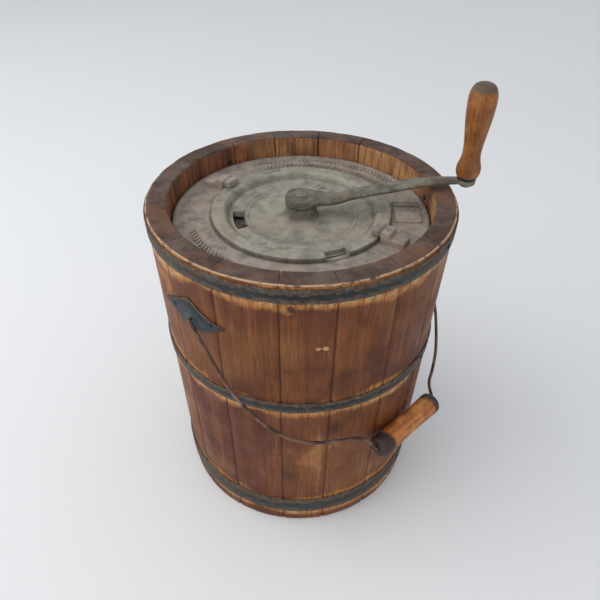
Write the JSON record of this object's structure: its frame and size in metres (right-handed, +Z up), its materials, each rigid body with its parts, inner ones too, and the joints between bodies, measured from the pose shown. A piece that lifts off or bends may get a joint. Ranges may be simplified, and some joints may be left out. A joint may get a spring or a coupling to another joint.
{
  "type": "ice cream maker",
  "caption": "Hand-cranked ice cream freezer: hooped wooden tub with an iron top, a geared turning can and dasher inside, a crank on top and a wire bail.",
  "frame": {"origin": "on the tub's axis, in the plane that it stands on, at the middle of the bottom batten's underside", "axes": "+Z up the tub's axis, -Y out of the front, +X to the right seen from the front, the side on which the crank lies at rest"},
  "size_m": [0.3482, 0.3392, 0.4895],
  "materials": {
    "tub_wood": "worn red-brown stain, vertical grain, yellow bare wood beside the hoops",
    "bare_wood": "plain unfinished boards",
    "grip_wood": "turned, handled, darkened at the ends",
    "hoop_iron": "blue-black flaking paint over rusted sheet iron",
    "cast_iron": "dull grey sand-cast skin",
    "forged_iron": "dull forged skin, darker in the hollows",
    "tinplate": "dulled tin",
    "wire": "dark drawn wire, worn bright on its front"
  },
  "bodies": {
    "tub": {"stave_01": "tub_wood", "stave_02": "tub_wood", "stave_03": "tub_wood", "stave_04": "tub_wood", "stave_05": "tub_wood", "stave_06": "tub_wood", "stave_07": "tub_wood", "stave_08": "tub_wood", "stave_09": "tub_wood", "stave_10": "tub_wood", "stave_11": "tub_wood", "stave_12": "tub_wood", "stave_13": "tub_wood", "stave_14": "tub_wood", "stave_15": "tub_wood", "stave_16": "tub_wood", "stave_17": "tub_wood", "bottom_board_1": "bare_wood", "bottom_board_2": "bare_wood", "bottom_board_3": "bare_wood", "bottom_batten": "bare_wood", "hoop_top": "hoop_iron", "hoop_middle": "hoop_iron", "hoop_bottom": "hoop_iron", "hoop_top_nail": "hoop_iron", "hoop_middle_nail": "hoop_iron", "hoop_bottom_nail": "hoop_iron", "top_plate": "cast_iron", "plate_nail_1": "hoop_iron", "plate_nail_2": "hoop_iron", "plate_nail_3": "hoop_iron", "footstep": "cast_iron", "ear_front": "hoop_iron", "ear_rear": "hoop_iron", "ear_front_nail_inner": "hoop_iron", "ear_front_nail_outer": "hoop_iron", "ear_rear_nail_inner": "hoop_iron", "ear_rear_nail_outer": "hoop_iron"},
    "cover": {"gear_cover": "cast_iron", "idler_stud_left": "cast_iron", "idler_stud_right": "cast_iron"},
    "crank": {"crank_shaft": "forged_iron", "crank_arm": "forged_iron", "crank_grip_pin": "forged_iron", "crank_grip_washer": "hoop_iron", "sun_gear": "cast_iron", "dasher_frame": "cast_iron", "scraper_left": "bare_wood", "scraper_right": "bare_wood"},
    "crank_handle": {"crank_grip": "grip_wood"},
    "idler_right": {"idler_gear_right": "cast_iron"},
    "idler_left": {"idler_gear_left": "cast_iron"},
    "can": {"can_body": "tinplate", "can_bottom": "tinplate", "can_pivot": "cast_iron", "dasher_pivot": "cast_iron", "can_lid": "tinplate", "ring_gear": "cast_iron"},
    "bail": {"bail_wire": "wire"},
    "bail_handle": {"bail_grip": "grip_wood"}
  },
  "joints": [
    {"name": "cover_turn", "type": "hinge", "parent": "tub", "child": "cover", "pos_m": [0, 0, 0.357], "axis": [0, 0, 1], "range_deg": [0, 36]},
    {"name": "crank_turn", "type": "hinge", "parent": "cover", "child": "crank", "pos_m": [0, 0, 0.3667], "axis": [0, 0, 1], "continuous": true},
    {"name": "crank_grip_turn", "type": "hinge", "parent": "crank", "child": "crank_handle", "pos_m": [0.17264, 0.0151, 0.3925], "axis": [0, 0, 1], "continuous": true},
    {"name": "idler_right_turn", "type": "hinge", "parent": "cover", "child": "idler_right", "pos_m": [0.0448, 0, 0.3385], "axis": [0, 0, 1], "continuous": true},
    {"name": "idler_left_turn", "type": "hinge", "parent": "cover", "child": "idler_left", "pos_m": [-0.0448, 0, 0.3385], "axis": [0, 0, 1], "continuous": true},
    {"name": "can_turn", "type": "hinge", "parent": "cover", "child": "can", "pos_m": [0, 0, 0.042], "axis": [0, 0, 1], "continuous": true},
    {"name": "bail_turn", "type": "hinge", "parent": "tub", "child": "bail", "pos_m": [0, 0, 0.3097], "axis": [-0.6468, -0.7627, 0], "range_deg": [0, 74]},
    {"name": "bail_grip_turn", "type": "hinge", "parent": "bail", "child": "bail_handle", "pos_m": [0.1242, -0.10763, 0.14011], "axis": [-0.6944, -0.7163, 0.0684], "continuous": true}
  ],
  "couplings": [
    {"joint": "idler_right_turn", "follows": "crank_turn", "ratio": -1.3333},
    {"joint": "idler_left_turn", "follows": "crank_turn", "ratio": -1.3333},
    {"joint": "can_turn", "follows": "crank_turn", "ratio": -0.4}
  ]
}
